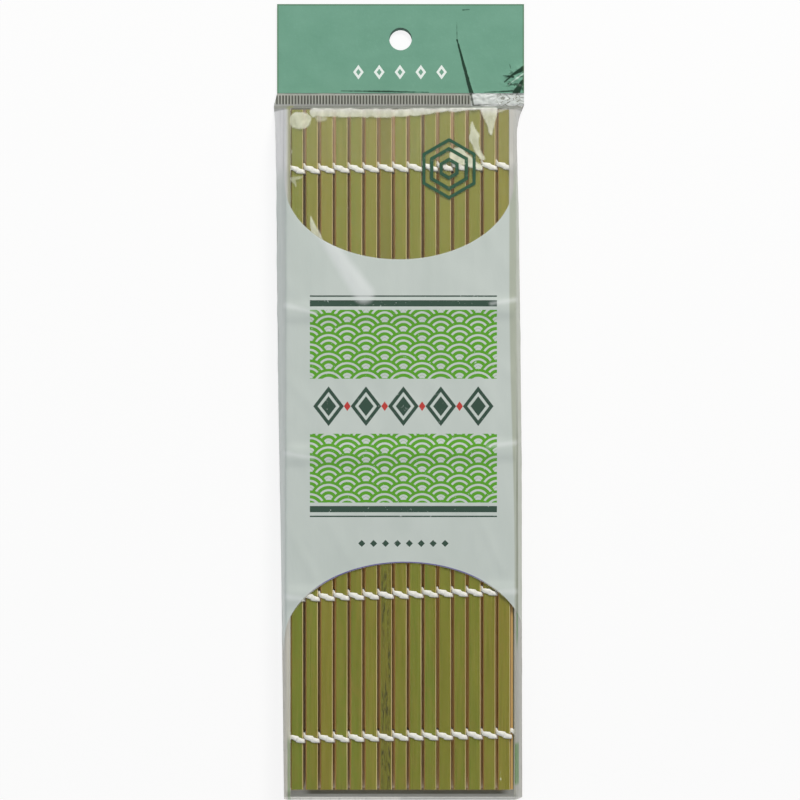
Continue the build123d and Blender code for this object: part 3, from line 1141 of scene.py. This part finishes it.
@dataclass
class Bag:
    """The film bag: its sizes in millimetres, and its pieces on the bag's body."""

    mat: Mat
    mouth_y: float = -141.1
    seal_y: float = 104.9
    header_y: float = 109.4
    top_y: float = 141.1
    header_half_width: float = 43.94
    film: float = 0.12
    mat_end_y: float = 102.4
    flat_half: float = 38.6
    shoulder: float = 40.95
    wall_height: float = 13.75
    wall_share: float = 0.17
    lie_z: float = 13.46
    row_lift: float = 0.50
    hole: tuple[float, float] = (0.0, 128.7)
    hole_radius: float = 4.0
    seal_thickness: float = 0.14
    rib_pitch: float = 1.1
    crumple_x: float = 25.1
    left_edge: tuple[tuple[float, float], ...] = (
        (-141.1, -41.5), (-50.0, -42.6), (0.0, -43.5), (49.0, -44.0), (81.0, -44.2), (97.4, -44.6),
        (104.9, -45.1),
    )
    right_edge: tuple[tuple[float, float], ...] = (
        (-141.1, 43.3), (-20.0, 43.1), (35.0, 42.5), (70.0, 42.0), (85.0, 41.5), (96.0, 41.4),
        (101.0, 42.3), (104.9, 43.9),
    )

    def edges(self, y: float) -> tuple[float, float]:
        """Where the bag's creased side edges lie at this height of the bag."""
        left = np.interp(y, *zip(*self.left_edge))
        right = np.interp(y, *zip(*self.right_edge))
        return float(left), float(right)

    def row_bump(self, x: float, y: float) -> float:
        """1 over a row of cord, falling to 0 beside it."""
        lift = 0.0
        for row in range(self.mat.rows):
            away = y - self.mat.row_y(row) - 1.7 * x / LAYER_WIDTH
            lift = max(lift, math.exp(-((away / 3.1) ** 4)))
        return lift

    def top_height(self, x: float, y: float) -> float:
        """How high the film lies over the mat."""
        height = self.lie_z + self.row_lift * self.row_bump(x, y)
        height += 0.10 * ripple(x, y, 9.0, 24.0, 3.0) + 0.05 * ripple(x, y, 3.0, 7.0, 8.0)
        fold = 1.0 - abs(ripple(x * 0.8 + y * 0.45, y, 13.0, 40.0, 5.0))
        height += 0.16 * max(0.0, fold - 0.72) / 0.28
        gather = max(0.0, (y - 74.0) / 29.0) ** 2
        height += gather * (0.22 + 0.22 * math.sin(x * 1.05 + 1.6 * ripple(x, y, 14.0, 14.0, 1.0)))
        height += 0.20 * ridge(x, y, Stroke((-32.6, 66.0), (-13.0, 38.0), 1.0, 2.2))
        height += 0.16 * ridge(x, y, Stroke((36.0, -60.0), (20.0, -24.0), 1.2, 1.6))
        height -= 0.035 * math.cos(2 * math.pi * (x + LAYER_EDGE) / self.mat.pitch)
        return max(height, 13.30)

    def across(self, u: float, y: float) -> tuple[float, float]:
        """The film's X and its height as a share, from one creased edge to the other."""
        left, right = self.edges(y)
        wall = self.wall_share
        if wall < u < 1 - wall:
            share = (u - wall) / (1 - 2 * wall)
            return (2 * share - 1) * self.flat_half, 1.0
        near = u / wall if u <= wall else (1 - u) / wall
        edge, side = (left, -1.0) if u <= wall else (right, 1.0)
        stops = (0.0, 0.14, 0.34, 0.56, 0.72, 0.84, 0.93, 1.0)
        room = abs(edge) - self.shoulder
        reach = (
            abs(edge), abs(edge) - 0.10 * room, self.shoulder + 0.62 * room,
            self.shoulder + 0.30 * room, self.shoulder + 0.02, self.shoulder - 0.35,
            self.shoulder - 1.10, self.flat_half,
        )
        height = (0.0, 0.10, 0.38, 0.68, 0.87, 0.955, 0.99, 1.0)
        x = side * float(np.interp(near, stops, reach))
        return x, float(np.interp(near, stops, height))

    def front_shape(self, u: float, v: float) -> Point:
        """A point of the front film from its share across and its share from mouth to seal."""
        lip, drop = 0.03, 0.93
        lip_y = self.mouth_y + 3.6
        if v < lip:
            y = self.mouth_y + (v / lip) * (lip_y - self.mouth_y)
            fall = (1 - v / lip) ** 2 * 0.20
        elif v < drop:
            y = lip_y + (v - lip) / (drop - lip) * (self.mat_end_y - lip_y)
            fall = 0.0
        else:
            share = (v - drop) / (1 - drop)
            y = self.mat_end_y + (self.seal_y - self.mat_end_y) * (share ** 0.75)
            fall = min(1.0, max(0.0, (share - 0.18) / 0.82)) ** 1.25
        x, high = self.across(u, y)
        left, right = self.edges(y)
        flat_x = left + u * (right - left)
        x += (flat_x - x) * max(0.0, fall - 0.25) / 0.75
        height = self.top_height(x, min(y, self.mat_end_y))
        wall = min(1.0, (1 - high) * 3.0)
        height = height * (1 - wall) + self.wall_height * wall
        z = 0.30 + (height - 0.30) * high * (1 - fall * 0.985)
        bulge = wall * 0.22 * ripple(y, z, 9.0, 5.0, 6.0 + (u > 0.5))
        return x + bulge, y, z + 0.10 * fall * ripple(x, y, 4.0, 3.0, 9.0)

    def front_film(self) -> bpy.types.Object:
        """The clear front film over the mat, with its printed band."""
        sheet = film_sheet("bag_front_film", (150, 200), self.film, self.front_shape)
        sheet.data.materials.append(FrontFilmFinish().build())
        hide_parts("front_film")
        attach(sheet, "bag")
        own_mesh(sheet)
        return sheet

    def back_film(self) -> bpy.types.Object:
        """The back film that lies on the table, creased into the front film at its sides."""

        def shape(u: float, v: float) -> Point:
            """A point of the back film."""
            y = self.mouth_y + v * (self.seal_y - self.mouth_y)
            left, right = self.edges(y)
            x = left + u * (right - left)
            edge = abs(2 * u - 1) ** 12
            lift = 0.06 * edge * (1 + ripple(x, y, 5.0, 9.0, 2.0))
            return x, y, self.film + lift

        sheet = film_sheet("bag_back_film", (60, 150), self.film, shape)
        sheet.data.materials.append(BackFilmFinish().build())
        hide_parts("back_film")
        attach(sheet, "bag")
        return sheet

    def seal(self) -> bpy.types.Object:
        """The crimped seal, ribbed up to the crease and crumpled beyond it."""

        def shape(u: float, v: float) -> Point:
            """A point of the seal."""
            left = -self.header_half_width - 1.1 * (1 - v)
            x = left + u * (self.header_half_width - left)
            y = self.seal_y + v * (self.header_y - self.seal_y)
            ribbed = min(1.0, max(0.0, (self.crumple_x - x) / 0.8))
            inset = min(1.0, max(0.0, min(v - 0.04, 0.92 - v) * 9.0))
            rib = 0.10 * math.cos(2 * math.pi * x / self.rib_pitch) * ribbed * inset
            crumple = 0.45 * abs(ripple(x, y, 2.6, 1.7, 4.0)) + 0.12 * ripple(x, y, 1.1, 0.9, 7.0)
            sway = 0.03 * ripple(x, y, 16.0, 9.0, 3.0)
            return x, y, 0.29 + rib + sway + (1 - ribbed) * crumple

        sheet = film_sheet("bag_crimp_seal", (480, 16), self.seal_thickness, shape)
        sheet.data.materials.append(SealFinish(self.rib_pitch, self.crumple_x).build())
        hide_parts("crimp_seal")
        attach(sheet, "bag")
        return sheet

    def header_lift(self, x: float, y: float) -> float:
        """How far the header's film stands up from flat at a point."""
        crease = Stroke((20.0, 131.0), (25.2, 109.3), 0.20, 0.75)
        lift = 0.10 * (1 + ripple(x, y, 18.0, 12.0, 2.0))
        lift += 0.42 * ridge(x, y, crease) * min(1.0, max(0.0, (133.0 - y) / 20.0))
        corner = max(0.0, 1 - math.hypot(x - 43.9, y - 111.5) / 10.0)
        lift += corner * 1.3 * abs(ripple(x + y, y, 3.2, 2.4, 5.0)) + corner * 0.35
        lift += 0.35 * ridge(x, y, Stroke((43.9, 118.8), (37.8, 115.6), 0.9, 0.4))
        foot = max(0.0, 1 - (y - self.header_y) / 1.6)
        return lift + foot * 0.10 * (1 + ripple(x, 0.0, 6.0, 1.0, 8.0))

    def header_ply(
        self, name: str, z: float, thickness: float, hole_drop: float
    ) -> bpy.types.Object:
        """One ply of the header, with its hang hole.

        Args:
            name: The ply's name.
            z: The height of its middle.
            thickness: Its thickness.
            hole_drop: How far its hole sits below the front ply's.

        Returns:
            The ply.
        """
        width = 2 * self.header_half_width
        height = self.top_y - self.header_y
        bpy.ops.object.select_all(action="DESELECT")
        bpy.ops.mesh.primitive_grid_add(
            x_subdivisions=176, y_subdivisions=64, size=1.0,
            location=(0, (self.header_y + self.top_y) / 2 * MM, z * MM),
        )
        plate = bpy.context.active_object
        plate.name = name
        plate.scale = (width * MM, height * MM, 1)
        bpy.ops.object.transform_apply(location=True, rotation=False, scale=True)
        apply_modifier(plate, "SOLIDIFY", thickness=thickness * MM, offset=0.0)
        bpy.ops.object.select_all(action="DESELECT")
        bpy.ops.mesh.primitive_cylinder_add(
            vertices=96, radius=self.hole_radius * MM, depth=4 * MM,
            location=(self.hole[0] * MM, (self.hole[1] - hole_drop) * MM, 0),
        )
        punch = bpy.context.active_object
        apply_modifier(plate, "BOOLEAN", operation="DIFFERENCE", solver="EXACT", object=punch)
        bpy.data.objects.remove(punch, do_unlink=True)
        for vertex in plate.data.vertices:
            x, y = vertex.co.x / MM, vertex.co.y / MM
            vertex.co.z += self.header_lift(x, y) * MM
        select_only(plate)
        bpy.ops.object.shade_smooth_by_angle(angle=math.radians(35))
        plate.data.materials.clear()
        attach(plate, "bag")
        return plate

    def header(self) -> bpy.types.Object:
        """The green header of two plies, with its hang hole, its crease and its crumpled corner."""
        front = self.header_ply("bag_header", 0.20, 0.12, 0.0)
        # Its hole sits lower than the front ply's, so the dark green back ply shows in the hole as
        # a crescent of painted shade.
        back = self.header_ply("bag_header_back_ply", 0.07, 0.10, 0.9)
        front.data.materials.append(HeaderFinish().build())
        back.data.materials.append(BackPlyFinish().build())
        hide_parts("header")
        return front

    def build(self) -> None:
        """Makes the bag's four pieces."""
        for make in (self.back_film, self.front_film, self.seal, self.header):
            piece = make()
            LOG.info("%s: %d faces", piece.name, len(piece.data.polygons))


# ---- Studio


@dataclass
class Studio:
    """The floor, the soft lights and the camera straight above the mat, in metres."""

    camera_height: float = 1.5
    view_width: float = 0.2848
    view_middle: tuple[float, float] = (-0.0002, 0.0002)
    sensor: float = 36.0
    sky: float = 0.36
    floor_glow: float = 0.86
    lamps: tuple[tuple[Point, float, float, Point], ...] = (
        ((0.45, 1.45, 0.98), 0.36, 26.0, (1.0, 0.97, 0.91)),
        ((-0.95, -0.35, 1.30), 1.10, 3.4, (0.94, 0.97, 1.0)),
    )

    def build(self) -> None:
        """Sets up the camera, the lamps, the sky and the floor."""
        camera = bpy.data.cameras.new("camera")
        camera.sensor_width = self.sensor
        camera.lens = self.sensor * self.camera_height / self.view_width
        camera.clip_start = 0.01
        holder = bpy.data.objects.new("camera", camera)
        holder.location = (*self.view_middle, self.camera_height)
        bpy.context.collection.objects.link(holder)
        bpy.context.scene.camera = holder
        bpy.context.scene.view_settings.view_transform = "Standard"
        for number, (place, size, power, tint) in enumerate(self.lamps):
            lamp = bpy.data.lights.new(f"softbox_{number + 1}", "AREA")
            lamp.size = size
            lamp.energy = power
            lamp.color = tint
            light = bpy.data.objects.new(lamp.name, lamp)
            light.location = place
            light.rotation_euler = (-Vector(place)).to_track_quat("-Z", "Y").to_euler()
            bpy.context.collection.objects.link(light)
        self.build_sky()
        self.build_floor()
        LOG.info("studio: camera %.2f m up, %d lamps", self.camera_height, len(self.lamps))

    def seen(self, nodes: Nodes) -> Value:
        """1 for rays from the camera, in reflections and through glass, and 0 for light."""
        path = nodes.node("ShaderNodeLightPath").outputs
        names = ("Is Camera Ray", "Is Glossy Ray", "Is Transmission Ray")
        camera, glossy, through = (Value(nodes, path[name]) for name in names)
        return camera.high(glossy).high(through)

    def build_sky(self) -> None:
        """A plain white sky that lights the object evenly."""
        world = bpy.data.worlds.new("plain_sky")
        bpy.context.scene.world = world
        world.use_nodes = True
        nodes = Nodes(world.node_tree)
        seen = self.seen(nodes)
        tint = nodes.mix(seen, (0.93, 0.96, 1.0, 1), (1, 1, 1, 1))
        strength = seen * (1 - self.sky) + self.sky
        sky = nodes.node("ShaderNodeBackground", None, {"Color": tint, "Strength": strength})
        nodes.node("ShaderNodeOutputWorld", None, {"Surface": sky.outputs[0]})

    def build_floor(self) -> None:
        """A plain pale floor that keeps the object's shadow."""
        bpy.ops.object.select_all(action="DESELECT")
        bpy.ops.mesh.primitive_grid_add(x_subdivisions=4, y_subdivisions=4, size=8.0)
        floor = bpy.context.active_object
        floor.name = "floor"
        floor.location = (0, 0, -0.0008)
        bpy.ops.object.transform_apply(location=True, rotation=False, scale=False)
        material = bpy.data.materials.new("pale_floor")
        material.use_nodes = True
        nodes = Nodes(material.node_tree)
        matte = nodes.node("ShaderNodeBsdfDiffuse", None, {"Color": (0.94, 0.94, 0.94, 1)})
        glow = nodes.node("ShaderNodeEmission", None, {"Color": (1, 1, 1, 1), "Strength": 1.0})
        sockets = {0: self.seen(nodes) * self.floor_glow, 1: matte.outputs[0], 2: glow.outputs[0]}
        mixed = nodes.node("ShaderNodeMixShader", None, sockets)
        nodes.node("ShaderNodeOutputMaterial", None, {"Surface": mixed.outputs[0]})
        floor.data.materials.append(material)


def main() -> None:
    """Builds the studio, the mat and the bag."""
    logging.basicConfig(level=logging.INFO, format="%(name)s %(message)s")
    Studio().build()
    mat = Mat()
    mat.dress_slats()
    TwinedCords(mat).build()
    Bag(mat).build()


if __name__ == "__main__":
    main()
